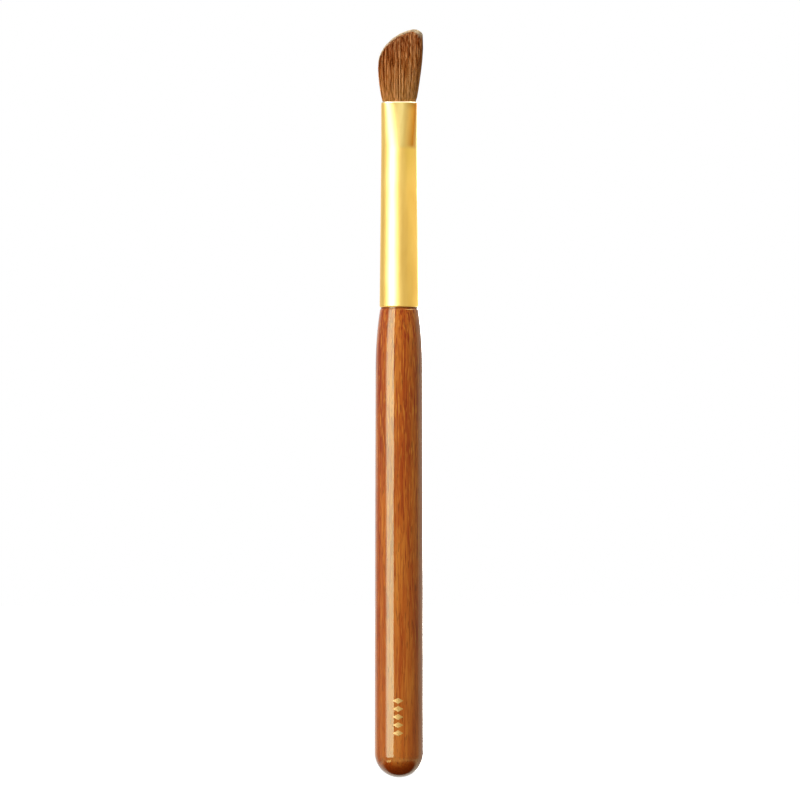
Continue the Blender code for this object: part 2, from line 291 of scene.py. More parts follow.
@dataclass(frozen=True)
class LacqueredMahogany:
    """Mahogany, turned, oiled red-brown and dipped in clear gloss lacquer.

    The eye sees golden and red bands, fine streaks that are bolder towards the neck, dark open
    pores, a painted line of shade just under the tube at the joint and plain, redder end grain
    round the butt, in a tone that also paints in light from below, and over them sharp
    reflections that the amber lacquer warms.
    """

    joint: float
    name: str = "lacquered_mahogany"
    tones: tuple[Tone, ...] = (
        Tone(0.32, "#9A3710"), Tone(0.44, "#B24B16"), Tone(0.56, "#BE5D1C"), Tone(0.70, "#CE762A"))
    red: str = "#96280C"
    golden: str = "#CE762A"
    dark: str = "#661E08"
    dark_cover: float = 0.5
    bands: Marks = Marks(2.0 * MM, 26 * MM, detail=3.0, shift=37.0)
    # Real pores are 0.1 to 0.2 mm wide and fine grain lines narrower, too fine to show in the
    # picture, so the next three are drawn as wide as they need to show
    streaks: Marks = Marks(0.30 * MM, 6.5 * MM, shift=11.0, start=0.49, full=0.63)
    flecks: Marks = Marks(0.30 * MM, 4.0 * MM, shift=17.0, start=0.55, full=0.66)
    pores: Marks = Marks(0.22 * MM, 2.6 * MM, detail=1.0, shift=23.0, start=0.61, full=0.67)
    sway_along: float = 22 * MM
    sway: float = 0.4 * MM
    plain_to: float = 4 * MM
    figured_from: float = 80 * MM
    plain_figure: float = 0.25
    full_figure: float = 1.0
    neck_pores: float = 0.06
    neck_reach: float = 12 * MM
    # Depth of the painted shade band just under the tube
    joint_shade_depth: float = 0.25 * MM
    # Plain, redder end grain round the butt, in a tone that also paints in light from below
    end_grain_and_painted_fill: Patch = Patch("#A2400F", 3.4 * MM, 2.3 * MM)
    sags: Marks = Marks(2.5 * MM, 11 * MM, detail=0.0, shift=31.0)
    sag: float = 0.05 * MM
    lacquer_shine: float = 0.63
    lacquer_roughness: float = 0.03
    lacquer_tint: str = "#FFF48C"

    def build(self) -> bpy.types.Material:
        """Make the material."""
        draft = Draft.start(
            self.name, Roughness=self.lacquer_roughness, Specular_IOR_Level=self.lacquer_shine)
        node = draft.node
        draft.shader.inputs["Specular Tint"].default_value = linear(self.lacquer_tint)
        height = node(SEPARATE, (draft.place,), "Z")
        draft.sway(self.sway_along, self.sway)
        colour = node("ShaderNodeValToRGB", {"Fac": draft.grain(self.bands)}, stops=self.tones)
        figure = node(MAP_RANGE, (
            height, self.plain_to, self.figured_from, self.plain_figure, self.full_figure))
        first_pores = node(MAP_RANGE, (
            height, self.joint - self.neck_reach, self.joint,
            self.pores.start, self.pores.start - self.neck_pores))
        for tone, marks, start, most in (
                (self.red, self.streaks, self.streaks.start, figure),
                (self.golden, self.flecks, self.flecks.start, figure),
                (self.dark, self.pores, first_pores, self.dark_cover)):
            colour = draft.laid_over(colour, draft.grain(marks), Patch(tone, start, marks.full, most))
        # Painted shade: a dark band just under the tube, where the joint lies in shade
        joint_shade = Patch(self.dark, self.joint - self.joint_shade_depth, self.joint, self.dark_cover)
        colour = draft.laid_over(colour, height, joint_shade)
        # The tone round the butt is end grain and painted light from below
        draft.feed("Base Color", draft.laid_over(colour, height, self.end_grain_and_painted_fill))
        draft.feed("Normal", node("ShaderNodeBump", {
            "Height": draft.grain(self.sags), "Strength": 1.0, "Distance": self.sag}))
        return draft.material


@dataclass(frozen=True)
class GoldAnodised:
    """Drawn aluminium tube, satin etched and anodised gold.

    The eye sees one broad soft highlight, faint draw lines along the tube, and a brighter,
    polished lip at the mouth. On the pressed mouth the colour holds painted light: painted shade
    on the +X side, a duller tone that dims the highlight on the pressed face, a paler tone that
    paints the softer reflection on its front, and a painted dark amber reflection down the +X
    narrow side with a painted lighter sheen beside it.
    """

    press_start: float
    mouth: float
    name: str = "gold_anodised_aluminium"
    tones: tuple[Tone, ...] = (Tone(0.35, "#F2C65F"), Tone(0.65, "#EBBB55"))
    clouds: Marks = Marks(2.5 * MM, 9 * MM, shift=5.0)
    # Painted shade on the +X side, from below the press up to the mouth
    shaded: Patch = Patch("#D8B24C", 0.8 * MM, 1.6 * MM)
    shaded_reach: float = 9 * MM
    # Painted shade: a duller tone that dims the highlight on the pressed face
    pressed: Patch = Patch("#B99747", -3.4 * MM, -2.0 * MM)
    least_pressed: float = 0.4
    press_fade: float = 0.6 * MM
    # Paler tone that paints the softer reflection on the pressed front
    side: Patch = Patch("#E4C468", -1.0 * MM, 0.6 * MM)
    # Painted dark amber reflection down the +X narrow side of the pressed mouth
    dark_reflection: Patch = Patch("#B06D0A", 0.7 * MM, 2.7 * MM, 0.95)
    dark_reflection_lean: float = 0.09
    # Painted lighter sheen beside the dark reflection
    edge: Patch = Patch("#E4C468", 2.7 * MM, 3.5 * MM, 0.6)
    # Paler polished lip, made paler still to paint a wider highlight round the rim
    lip: Patch = Patch("#E6D6A8", 0.36 * MM, 0.24 * MM)
    lip_roughness: float = 0.3
    # Real draw lines are hundredths of a millimetre wide, so these are coarser, to show at all
    draw_lines: Marks = Marks(0.12 * MM, 18 * MM, start=0.3, full=0.7)
    line_strength: float = 0.05
    line_depth: float = 0.01 * MM
    satin: float = 0.44
    satin_range: float = 0.04

    def press_tones(self, draft: Draft, colour: Socket, height: Socket) -> Socket:
        """Lay the painted shade and painted reflections of the pressed mouth over the tube's own colour.

        Args:
            draft: The material.
            colour: The tube's own colour.
            height: Height above the butt.

        Returns:
            The colour of all of them.
        """
        node = draft.node
        sides = node(SEPARATE, (draft.place,), "X")
        rise = node(MATH, (height, self.press_start), operation="SUBTRACT")
        pressed = node(MAP_RANGE, (
            rise, -self.press_fade, self.press_fade), interpolation_type="SMOOTHSTEP")
        deeper = node(MAP_RANGE, (rise, 0.0, self.mouth - self.press_start, self.least_pressed))
        deeper = node(MATH, (pressed, deeper), operation="MULTIPLY")
        shaded = node(MAP_RANGE, (rise, -self.shaded_reach, 0.0))
        dark_reflection_full, edge_start, edge_full = (
            node(MATH, (rise, self.dark_reflection_lean, place), operation="MULTIPLY_ADD")
            for place in (self.dark_reflection.full, self.edge.start, self.edge.full))
        # Each of these tones is painted light: shade, a dimmed highlight and reflections
        for patch, reach in (
                (self.shaded, shaded), (self.pressed, deeper), (self.side, pressed),
                (self.dark_reflection._replace(full=dark_reflection_full), pressed),
                (self.edge._replace(start=edge_start, full=edge_full), pressed)):
            cover = node(MAP_RANGE, (sides, patch.start, patch.full))
            cover = node(MATH, (reach, cover), operation="MULTIPLY")
            colour = draft.laid_over(colour, cover, patch._replace(start=0.0, full=1.0))
        return colour

    def build(self) -> bpy.types.Material:
        """Make the material."""
        draft = Draft.start(self.name, Metallic=1.0)
        node = draft.node
        height = node(SEPARATE, (draft.place,), "Z")
        colour = node("ShaderNodeValToRGB", {"Fac": draft.grain(self.clouds)}, stops=self.tones)
        colour = self.press_tones(draft, colour, height)
        lip = self.lip._replace(start=self.mouth - self.lip.start, full=self.mouth - self.lip.full)
        draft.feed("Base Color", draft.laid_over(colour, height, lip))
        lines = draft.grain(self.draw_lines)
        satin = node(MAP_RANGE, (
            lines, self.draw_lines.start, self.draw_lines.full,
            self.satin - self.satin_range, self.satin + self.satin_range))
        draft.feed("Roughness", node("ShaderNodeMix", {
            "Factor_Float": node(MAP_RANGE, (height, lip.start, lip.full)),
            "A_Float": satin, "B_Float": self.lip_roughness}))
        draft.feed("Normal", node("ShaderNodeBump", {
            "Height": lines, "Strength": self.line_strength, "Distance": self.line_depth}))
        return draft.material


@dataclass(frozen=True)
class BrushHair:
    """Natural brown hair, washed and dressed, with its own pale uncut tips.

    The eye sees light and dark strands side by side, a warmer root that is a painted reflection
    of the gold tube, and a thin pale edge where the tips end. Hairs shade each other, so each
    colour is paler than the tuft looks.
    """

    name: str = "natural_brown_hair"
    # The lighter, warmer root tone is a painted reflection of the gold tube
    tones: tuple[Tone, ...] = (Tone(0.08, "#DE9C52"), Tone(0.45, "#C27634"), Tone(0.92, "#9C5022"))
    dark_strand: Patch = Patch("#642804", 0.71, 0.56, 0.95)
    # Fewer dark and more light strands near the root add to its painted reflection
    root_dark_cover: float = 0.5
    dark_above: float = 0.45
    light_strand: Patch = Patch("#F0B070", 0.74, 0.88, 1.0)
    tip_light_cover: float = 0.45
    light_below: float = 0.1
    tip: str = "#EEDCB4"
    # One hair is too fine to show, so a light or dark streak is a few hairs wide
    streaks: Marks = Marks(0.25 * MM, 6.0 * MM, detail=3.0)
    sway_along: float = 3.0 * MM
    sway: float = 0.5 * MM
    tone_share: float = 0.45
    strand_roughness: float = 0.6

    def build(self) -> bpy.types.Material:
        """Make the material."""
        draft = Draft.start(self.name, Roughness=self.strand_roughness, Specular_IOR_Level=0.0)
        node = draft.node
        along, tone, tip_distance, pale_length = (
            node("ShaderNodeAttribute", output="Fac", attribute_name=name) for name in HAIR_LOOK)
        colour = node("ShaderNodeValToRGB", {"Fac": along}, stops=self.tones)
        draft.sway(self.sway_along, self.sway)
        shade = node(MATH, (tone, self.tone_share, draft.grain(self.streaks)), operation="MULTIPLY_ADD")
        dark_cover = node(MAP_RANGE, (
            along, 0.0, self.dark_above, self.root_dark_cover, self.dark_strand.most))
        light_cover = node(MAP_RANGE, (
            along, self.light_below, 1.0, self.light_strand.most, self.tip_light_cover))
        for pattern, patch in (
                (shade, self.dark_strand._replace(most=dark_cover)),
                (shade, self.light_strand._replace(most=light_cover)),
                (tip_distance, Patch(self.tip, pale_length, 0.0))):
            colour = draft.laid_over(colour, pattern, patch)
        draft.feed("Base Color", colour)
        return draft.material


@dataclass(frozen=True)
class MottledCoat:
    """Thin or poured coat whose colour and height are a little uneven."""

    name: str
    tones: tuple[Tone, ...]
    mottle: Marks
    roughness: float
    metallic: float = 0.0
    unevenness: float = 0.2
    depth: float = 0.02 * MM

    def build(self) -> bpy.types.Material:
        """Make the material."""
        draft = Draft.start(self.name, Metallic=self.metallic, Roughness=self.roughness)
        mottle = draft.grain(self.mottle)
        draft.feed("Base Color", draft.node("ShaderNodeValToRGB", {"Fac": mottle}, stops=self.tones))
        draft.feed("Normal", draft.node("ShaderNodeBump", {
            "Height": mottle, "Strength": self.unevenness, "Distance": self.depth}))
        return draft.material


# Metal foil stamped hot into lacquered wood: bright, thin and speckled, with coarser specks than
# the real foil's so that they show
STAMPED_FOIL = MottledCoat(
    "hot_stamped_foil", (Tone(0.5, "#C29444"), Tone(0.7, "#A67E3A")), Marks(0.25 * MM, 0.25 * MM),
    roughness=0.45, metallic=0.8, unevenness=0.1, depth=0.01 * MM)
# Epoxy, poured behind the root and cured: glossy, amber and slightly cloudy
AMBER_EPOXY = MottledCoat(
    "amber_epoxy", (Tone(0.35, "#B5762A"), Tone(0.65, "#8E5318")),
    Marks(0.9 * MM, 0.9 * MM, detail=3.0), roughness=0.12)
# White wood glue, pressed out and dried: cream, waxy and a little uneven
WOOD_GLUE = MottledCoat(
    "cured_wood_glue", (Tone(0.35, "#E9DDB8"), Tone(0.65, "#CDB987")),
    Marks(0.9 * MM, 0.9 * MM, detail=3.0), roughness=0.35)


@dataclass(frozen=True)
class WaxedThread:
    """Twisted cotton thread, waxed: the eye sees slanting plies and a dull sheen."""

    name: str = "waxed_cotton_thread"
    tones: tuple[Tone, ...] = (Tone(0.0, "#A89A78"), Tone(1.0, "#E6DDC4"))
    roughness: float = 0.6
    ply: float = 0.3 * MM
    ply_wander: float = 1.5
    ply_strength: float = 0.5
    ply_depth: float = 0.05 * MM

    def build(self) -> bpy.types.Material:
        """Make the material."""
        draft = Draft.start(self.name, Roughness=self.roughness)
        plies = draft.node("ShaderNodeTexWave", {
            "Vector": draft.place, "Scale": 1 / self.ply, "Distortion": self.ply_wander}, "Fac",
            bands_direction="DIAGONAL")
        draft.feed("Base Color", draft.node("ShaderNodeValToRGB", {"Fac": plies}, stops=self.tones))
        draft.feed("Normal", draft.node("ShaderNodeBump", {
            "Height": plies, "Strength": self.ply_strength, "Distance": self.ply_depth}))
        return draft.material


def add_object(name: str, data: bpy.types.ID) -> bpy.types.Object:
    """Add an object that shows some data to the scene."""
    item = bpy.data.objects.new(name, data)
    bpy.context.scene.collection.objects.link(item)
    return item


@dataclass
class Recipe(Net):
    """A Geometry Nodes tree with named inputs, and the way from it to a plain piece."""

    given: bpy.types.NodeOutputs

    @classmethod
    def start(cls, name: str, **inputs: str) -> "Recipe":
        """Start a tree.

        Args:
            name: The tree's name.
            **inputs: Name and kind of each input besides the geometry and the finish.

        Returns:
            The recipe.
        """
        tree = bpy.data.node_groups.new(name, "GeometryNodeTree")
        for way in ("OUTPUT", "INPUT"):
            tree.interface.new_socket("Geometry", in_out=way, socket_type="NodeSocketGeometry")
        for label, kind in {**inputs, "finish": "Material"}.items():
            tree.interface.new_socket(label, in_out="INPUT", socket_type="NodeSocket" + kind)
        return cls(tree, tree.nodes.new("NodeGroupInput").outputs)

    def end(self, geometry: Socket) -> None:
        """End the tree with real, smooth geometry in its finish."""
        smooth = self.node("GeometryNodeSetShadeSmooth", {"Geometry": geometry})
        real = self.node("GeometryNodeRealizeInstances", {"Geometry": smooth})
        finished = self.node("GeometryNodeSetMaterial", {
            "Geometry": real, "Material": self.given["finish"]})
        self.tree.links.new(finished, self.tree.nodes.new("NodeGroupOutput").inputs[0])

    def grow(self, source: bpy.types.Mesh, name: str, values: dict,
             keep: Sequence[str] = ()) -> bpy.types.Object:
        """Run the tree on a mesh and keep the result as a plain piece.

        Args:
            source: The points that the tree starts from.
            name: The piece's name.
            values: Value of each of the tree's named inputs.
            keep: Attributes that the piece's material reads.

        Returns:
            The piece, a plain mesh at the origin.
        """
        holder = add_object(name + "_points", source)
        modifier = holder.modifiers.new(self.tree.name, "NODES")
        modifier.node_group = self.tree
        for item in self.tree.interface.items_tree:
            if item.name in values:
                modifier[item.identifier] = values[item.name]
        evaluated = holder.evaluated_get(bpy.context.evaluated_depsgraph_get())
        mesh = bpy.data.meshes.new_from_object(evaluated)
        mesh.name = name
        bpy.data.objects.remove(holder, do_unlink=True)
        wanted = {"position", "sharp_face", "sharp_edge", "material_index", *keep}
        for label in [item.name for item in mesh.attributes]:
            if label not in wanted and not label.startswith("."):
                mesh.attributes.remove(mesh.attributes[label])
        return add_object(name, mesh)


def store(mesh: bpy.types.Mesh, name: str, values: Sequence) -> None:
    """Store one number or one vector for each point of a mesh under a name."""
    if isinstance(values[0], float):
        mesh.attributes.new(name, "FLOAT", "POINT").data.foreach_set("value", values)
        return
    flat = [part for vector in values for part in vector]
    mesh.attributes.new(name, "FLOAT_VECTOR", "POINT").data.foreach_set("vector", flat)


def dress(piece: bpy.types.Object, slot: str, *nodes: str) -> None:
    """Make a piece ride on the brush and stand for the named nodes.

    Args:
        piece: The finished piece.
        slot: The record's material slot; not used.
        *nodes: CAD nodes that the piece replaces.
    """
    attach(piece, BODY)
    if nodes:
        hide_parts(*nodes)
    LOG.info("%s: %d faces", piece.name, len(piece.data.polygons))


@cache
def ring_loft() -> Recipe:
    """Make the recipe that turns levels into a closed skin: one ring of points for each level.

    Each point of its source is a level, whose height is the point's Z and whose half width,
    half thickness and squareness are the attribute "section".

    Returns:
        The recipe, made once.
    """
    recipe = Recipe.start("ring_loft", levels="Int", steps="Int", weld_distance="Float")
    node = recipe.node
    given = recipe.given
    seam = node(MATH, (given["steps"], 1.0), operation="ADD")
    grid = node("GeometryNodeMeshGrid", {
        "Size X": 1.0, "Size Y": 1.0, "Vertices X": seam, "Vertices Y": given["levels"]})
    position = node("GeometryNodeInputPosition")
    spot = node(VECTOR_MATH, (position, (0.5, 0.5, 0.0)), operation="ADD")
    shares = node(SEPARATE, (spot,)).node.outputs
    last = node(MATH, (given["levels"], 1.0), operation="SUBTRACT")
    index = node(MATH, (shares["Y"], last), operation="MULTIPLY")
    index = node(MATH, (index,), operation="ROUND")
    section = node("GeometryNodeInputNamedAttribute", {"Name": "section"}, data_type="FLOAT_VECTOR")
    levels = []
    for values in (section, position):
        sample = node("GeometryNodeSampleIndex", {
            "Geometry": given["Geometry"], "Value": values, "Index": index}, data_type="FLOAT_VECTOR")
        levels.append(node(SEPARATE, (sample,)).node.outputs)
    section, place = levels
    turn = node(MATH, (shares["X"], math.tau), operation="MULTIPLY")
    power = node(MATH, (ROUND, section["Z"]), operation="DIVIDE")
    point = {"Z": place["Z"]}
    for axis, wave in (("X", "COSINE"), ("Y", "SINE")):
        reach = node(MATH, (turn,), operation=wave)
        sign = node(MATH, (reach,), operation="SIGN")
        size = node(MATH, (reach,), operation="ABSOLUTE")
        size = node(MATH, (size, power), operation="POWER")
        side = node(MATH, (size, sign), operation="MULTIPLY")
        point[axis] = node(MATH, (side, section[axis]), operation="MULTIPLY")
    skin = node("GeometryNodeSetPosition", {"Geometry": grid, "Position": node(COMBINE, point)})
    recipe.end(node("GeometryNodeMergeByDistance", {
        "Geometry": skin, "Distance": given["weld_distance"]}))
    return recipe


def loft(name: str, levels: Sequence[Level], steps: int, finish: bpy.types.Material) -> bpy.types.Object:
    """Make a closed piece from levels that run up its outside, and down its inside if it has one.

    Args:
        name: The piece's name.
        levels: Its sections, in order.
        steps: Points round each section.
        finish: Its material.

    Returns:
        The piece.
    """
    source = bpy.data.meshes.new(name + "_levels")
    source.from_pydata([(0.0, 0.0, level.height) for level in levels], [], [])
    store(source, "section", [level[1:] for level in levels])
    piece = ring_loft().grow(source, name, {
        "levels": len(levels), "steps": steps, "weld_distance": WELD_DISTANCE, "finish": finish})
    piece.data.set_sharp_from_angle(angle=SHARP_ANGLE)
    return piece


def quarter_turn(steps: int) -> list[float]:
    """Give the angles from nought to a right angle, in equal steps."""
    return [math.pi / 2 * step / steps for step in range(steps + 1)]


@dataclass
class Ferrule:
    """Gold tube, round at the handle and pressed oval at the mouth."""

    base_radius: float = 4.205 * MM
    neck_radius: float = 3.856 * MM
    wall: float = 0.4 * MM
    rounding: float = 0.36 * MM
    press_length: float = 9.8 * MM
    press_power: float = 1.2
    mouth_width: float = 7.756 * MM
    mouth_thickness: float = 6.1 * MM
    mouth_squareness: float = 2.6
    lip_length: float = 1.6 * MM
    lip_squareness: float = 0.5
    fit_gap: float = 0.3 * MM
    steps: int = 192
    press_steps: int = 60
    rim_steps: int = 10
    base: float = field(init=False)
    mouth: float = field(init=False)
    press_start: float = field(init=False)

    def __post_init__(self) -> None:
        """Read the tube's place from the frame."""
        low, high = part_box("ferrule")
        self.base = low[2]
        self.mouth = high[2]
        self.press_start = self.mouth - self.press_length

    def section(self, height: float, inset: float) -> Level:
        """Give the tube's section at a height, a distance inside its skin.

        Args:
            height: Height above the butt.
            inset: Distance inside the skin.

        Returns:
            The section.
        """
        along = (min(height, self.press_start) - self.base) / (self.press_start - self.base)
        pressed = max(0.0, (height - self.press_start) / self.press_length)
        radius = blend(self.base_radius, self.neck_radius, along)
        half_width = blend(radius, self.mouth_width / 2, pressed)
        half_thickness = blend(radius, self.mouth_thickness / 2, pressed ** self.press_power)
        into_lip = max(0.0, (height - self.mouth + self.lip_length) / self.lip_length)
        squareness = blend(ROUND, self.mouth_squareness, pressed) + self.lip_squareness * into_lip ** 2
        return Level(height, half_width - inset, half_thickness - inset, squareness)

    def bore(self, height: float) -> Level:
        """Give the section of what fits in the tube with the usual gap."""
        return self.section(height, self.wall + self.fit_gap)

    def levels(self) -> list[Level]:
        """Give the sections round the wall: up its outside, down its inside and back to the base."""
        shares = [step / self.press_steps for step in range(self.press_steps + 1)]
        levels = [self.section(self.base, self.wall)]
        for angle in quarter_turn(self.rim_steps):
            height = self.base + self.rounding * (1 - math.cos(angle))
            levels.append(self.section(height, self.rounding * (1 - math.sin(angle))))
        for share in shares[:-1]:
            height = blend(self.press_start, self.mouth - self.rounding, share)
            levels.append(self.section(height, 0.0))
        for angle in quarter_turn(self.rim_steps):
            height = self.mouth - self.rounding * (1 - math.sin(angle))
            levels.append(self.section(height, self.rounding * (1 - math.cos(angle))))
        for share in shares:
            levels.append(self.section(blend(self.mouth, self.press_start, share), self.wall))
        levels.append(levels[0])
        return levels

    def build(self) -> None:
        """Make the tube and dress it."""
        finish = GoldAnodised(press_start=self.press_start, mouth=self.mouth)
        dress(loft("gold_tube", self.levels(), self.steps, finish.build()), "gold_metal", "ferrule")

    def dress_inside(self) -> None:
        """Give the hidden resin, thread and glue their finishes."""
        for node, finish in (
                ("root_resin_plug", AMBER_EPOXY), ("root_binding_thread", WaxedThread()),
                ("tenon_glue_film", WOOD_GLUE)):
            material = finish.build()
            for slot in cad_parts[node].material_slots:
                slot.material = material
            LOG.info("%s: %s", node, material.name)


@dataclass
class Handle:
    """Turned wooden handle: round butt, grip, neck, and a tenon with grooves for the glue."""

    ferrule: Ferrule
    joint_gap: float = 0.3 * MM
    collar_radius: float = 3.98 * MM
    seat_gap: float = 0.03 * MM
    butt_radius: float = 5.26 * MM
    neck_radius: float = 5.05 * MM
    neck_length: float = 14.2 * MM
    shoulder_radius: float = 4.09 * MM
    shoulder_rounding: float = 0.24 * MM
    taper_power: float = 1.5
    neck_power: float = 2.5
    glue_thickness: float = 0.2 * MM
    glue_setback: float = 1.5 * MM
    glue_keys: int = 3
    key_width: float = 1.4 * MM
    key_depth: float = 0.6 * MM
    tenon_chamfer: float = 0.4 * MM
    steps: int = 192
    butt_steps: int = 40
    grip_steps: int = 60
    neck_steps: int = 60
    shoulder_steps: int = 10
    length: float = field(init=False)
    tenon_top: float = field(init=False)

    def __post_init__(self) -> None:
        """Read the handle's place from the frame."""
        self.length = self.ferrule.base - self.joint_gap
        self.tenon_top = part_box("wooden_handle")[1][2]

    def radius(self, height: float) -> float:
        """Give the outer radius: a slight taper, then the neck drawn in to the shoulder."""
        along = max(0.0, (height - self.butt_radius) / (self.length - self.butt_radius))
        into_neck = max(0.0, (height - self.length + self.neck_length) / self.neck_length)
        tapered = blend(self.butt_radius, self.neck_radius, along ** self.taper_power)
        return tapered - (self.neck_radius - self.shoulder_radius) * into_neck ** self.neck_power

    def tenon_radius(self, height: float) -> float:
        """Give the radius of the tenon, which leaves room for the glue in the tube."""
        bore = self.ferrule.bore(height)
        return min(bore.half_width, bore.half_thickness) - self.glue_thickness - self.ferrule.fit_gap

    def tenon(self) -> list[tuple[float, float]]:
        """Give radius and height up the tenon: a collar that seats the tube, then the grooves."""
        bottom = self.ferrule.base + self.glue_setback
        pitch = (self.tenon_top - self.glue_setback - bottom) / self.glue_keys
        half_groove = self.key_width / 2 + self.ferrule.fit_gap
        seat = self.ferrule.base - self.seat_gap
        points = [
            (self.collar_radius, self.length),
            (self.collar_radius, seat),
            (self.tenon_radius(seat), seat),
        ]
        for key in range(self.glue_keys):
            centre = bottom + pitch * (key + 0.5)
            low = centre - half_groove
            high = centre + half_groove
            points += [
                (self.tenon_radius(low), low),
                (self.tenon_radius(low) - self.key_depth, low),
                (self.tenon_radius(high) - self.key_depth, high),
                (self.tenon_radius(high), high),
            ]
        top = self.tenon_radius(self.tenon_top)
        points.append((top, self.tenon_top - self.tenon_chamfer))
        points.append((top - self.tenon_chamfer, self.tenon_top))
        points.append((0.0, self.tenon_top))
        return points

    def profile(self) -> list[tuple[float, float]]:
        """Give radius and height from the tip of the butt up to the top of the tenon."""
        points = [(0.0, 0.0)]
        for angle in quarter_turn(self.butt_steps)[1:-1]:
            points.append((self.butt_radius * math.sin(angle), self.butt_radius * (1 - math.cos(angle))))
        neck_base = self.length - self.neck_length
        neck_top = self.length - self.shoulder_rounding
        for low, high, steps in (
                (self.butt_radius, neck_base, self.grip_steps), (neck_base, neck_top, self.neck_steps)):
            heights = [blend(low, high, step / steps) for step in range(steps)]
            points += [(self.radius(height), height) for height in heights]
        for angle in quarter_turn(self.shoulder_steps):
            height = self.length - self.shoulder_rounding * (1 - math.sin(angle))
            points.append((self.radius(height) - self.shoulder_rounding * (1 - math.cos(angle)), height))
        return points + self.tenon()

    def build(self) -> None:
        """Make the handle, dress it and stamp its ornament."""
        levels = [Level(height, radius, radius) for radius, height in self.profile()]
        finish = LacqueredMahogany(joint=self.length).build()
        handle = loft("turned_handle", levels, self.steps, finish)
        dress(handle, "lacquered_wood", "wooden_handle")
        FoilOrnament(self).build()


@dataclass
class FoilOrnament:
    """Plain column of foil lozenges stamped on the handle near its butt."""

    SIZES: ClassVar[tuple[str, ...]] = (
        "pitch", "lozenge_width", "lozenge_height", "foil", "first_height", "aside", "radius")

    handle: Handle
    count: int = 5
    pitch: float = 1.72 * MM
    lozenge_width: float = 2.3 * MM
    lozenge_height: float = 1.25 * MM
    foil: float = 0.012 * MM
    first_height: float = 9.9 * MM
    aside: float = -0.28 * MM
    cells: int = 9
    radius: float = field(init=False)

    def __post_init__(self) -> None:
        """Take the handle's radius at the middle of the column."""
        self.radius = self.handle.radius(self.first_height + self.pitch * (self.count - 1) / 2)

    def recipe(self) -> Recipe:
        """Make the recipe: lozenges along a line, wrapped round the handle's front."""
        recipe = Recipe.start("foil_column", count="Int", **dict.fromkeys(self.SIZES, "Float"))
        node = recipe.node
        given = recipe.given
        slab = node("GeometryNodeMeshCube", {
            "Size": node(COMBINE, (1.0, 1.0, given["foil"])),
            "Vertices X": self.cells, "Vertices Y": self.cells, "Vertices Z": 2})
        turned = node("GeometryNodeTransform", {"Geometry": slab, "Rotation": (0.0, 0.0, math.pi / 4)})
        # A unit square that stands on its corner is the square root of 2 across
        halves = [node(MATH, (given[name], math.sqrt(0.5)), operation="MULTIPLY")
                  for name in ("lozenge_width", "lozenge_height")]
        lozenge = node("GeometryNodeTransform", {
            "Geometry": turned, "Scale": node(COMBINE, (*halves, 1.0))})
        line = node("GeometryNodeMeshLine", {
            "Count": given["count"], "Offset": node(COMBINE, (0.0, given["pitch"])),
            "Start Location": node(COMBINE, (given["aside"], given["first_height"]))})
        column = node("GeometryNodeInstanceOnPoints", {"Points": line, "Instance": lozenge})
        real = node("GeometryNodeRealizeInstances", {"Geometry": column})
        position = node("GeometryNodeInputPosition")
        flat = node(SEPARATE, (position,)).node.outputs
        angle = node(MATH, (flat["X"], given["radius"]), operation="DIVIDE")
        reach = node(MATH, (flat["Z"], given["radius"]), operation="ADD")
        across, depth = (
            node(MATH, (reach, node(MATH, (angle,), operation=wave)), operation="MULTIPLY")
            for wave in ("SINE", "COSINE"))
        front = node(MATH, (depth, -1.0), operation="MULTIPLY")
        wrapped = node(COMBINE, (across, front, flat["Y"]))
        recipe.end(node("GeometryNodeSetPosition", {"Geometry": real, "Position": wrapped}))
        return recipe

    def build(self) -> None:
        """Stamp the column on the handle."""
        values = {name: getattr(self, name) for name in ("count", *self.SIZES)}
        values["finish"] = STAMPED_FOIL.build()
        start = bpy.data.meshes.new("foil_column_start")
        ornament = self.recipe().grow(start, "foil_ornament", values)
        ornament.data.set_sharp_from_angle(angle=SHARP_ANGLE)
        dress(ornament, "gold_metal")


class HairLayer(Enum):
    """Layer of the bundle: where its hairs stand, and how many there are."""

    OUTER = ("tuft_outer_hairs", 0.86, 0.985, 3600, 8)
    MIDDLE = ("tuft_middle_hairs", 0.64, 0.88, 3400, 8)
    INNER = ("tuft_inner_hairs", 0.0, 0.66, 3000, 6)

    def __init__(self, piece_name: str, inner: float, outer: float, hairs: int, segments: int) -> None:
        """Name the layer's values."""
        self.piece_name = piece_name
        self.inner = inner
        self.outer = outer
        self.hairs = hairs
        self.segments = segments


class Clump(NamedTuple):
    """A lock of hairs that draws its hairs' tips towards itself."""

    across: float
    through: float
    lean_across: float
    lean_through: float
    tone: float


class Hair(NamedTuple):
    """One hair: the four points that steer its curve, its swell at the rim, and its look."""

    start: Vector
    rise: Vector
    fall: Vector
    end: Vector
    swell: Vector
    length: float
    pale_length: float
    tone: float


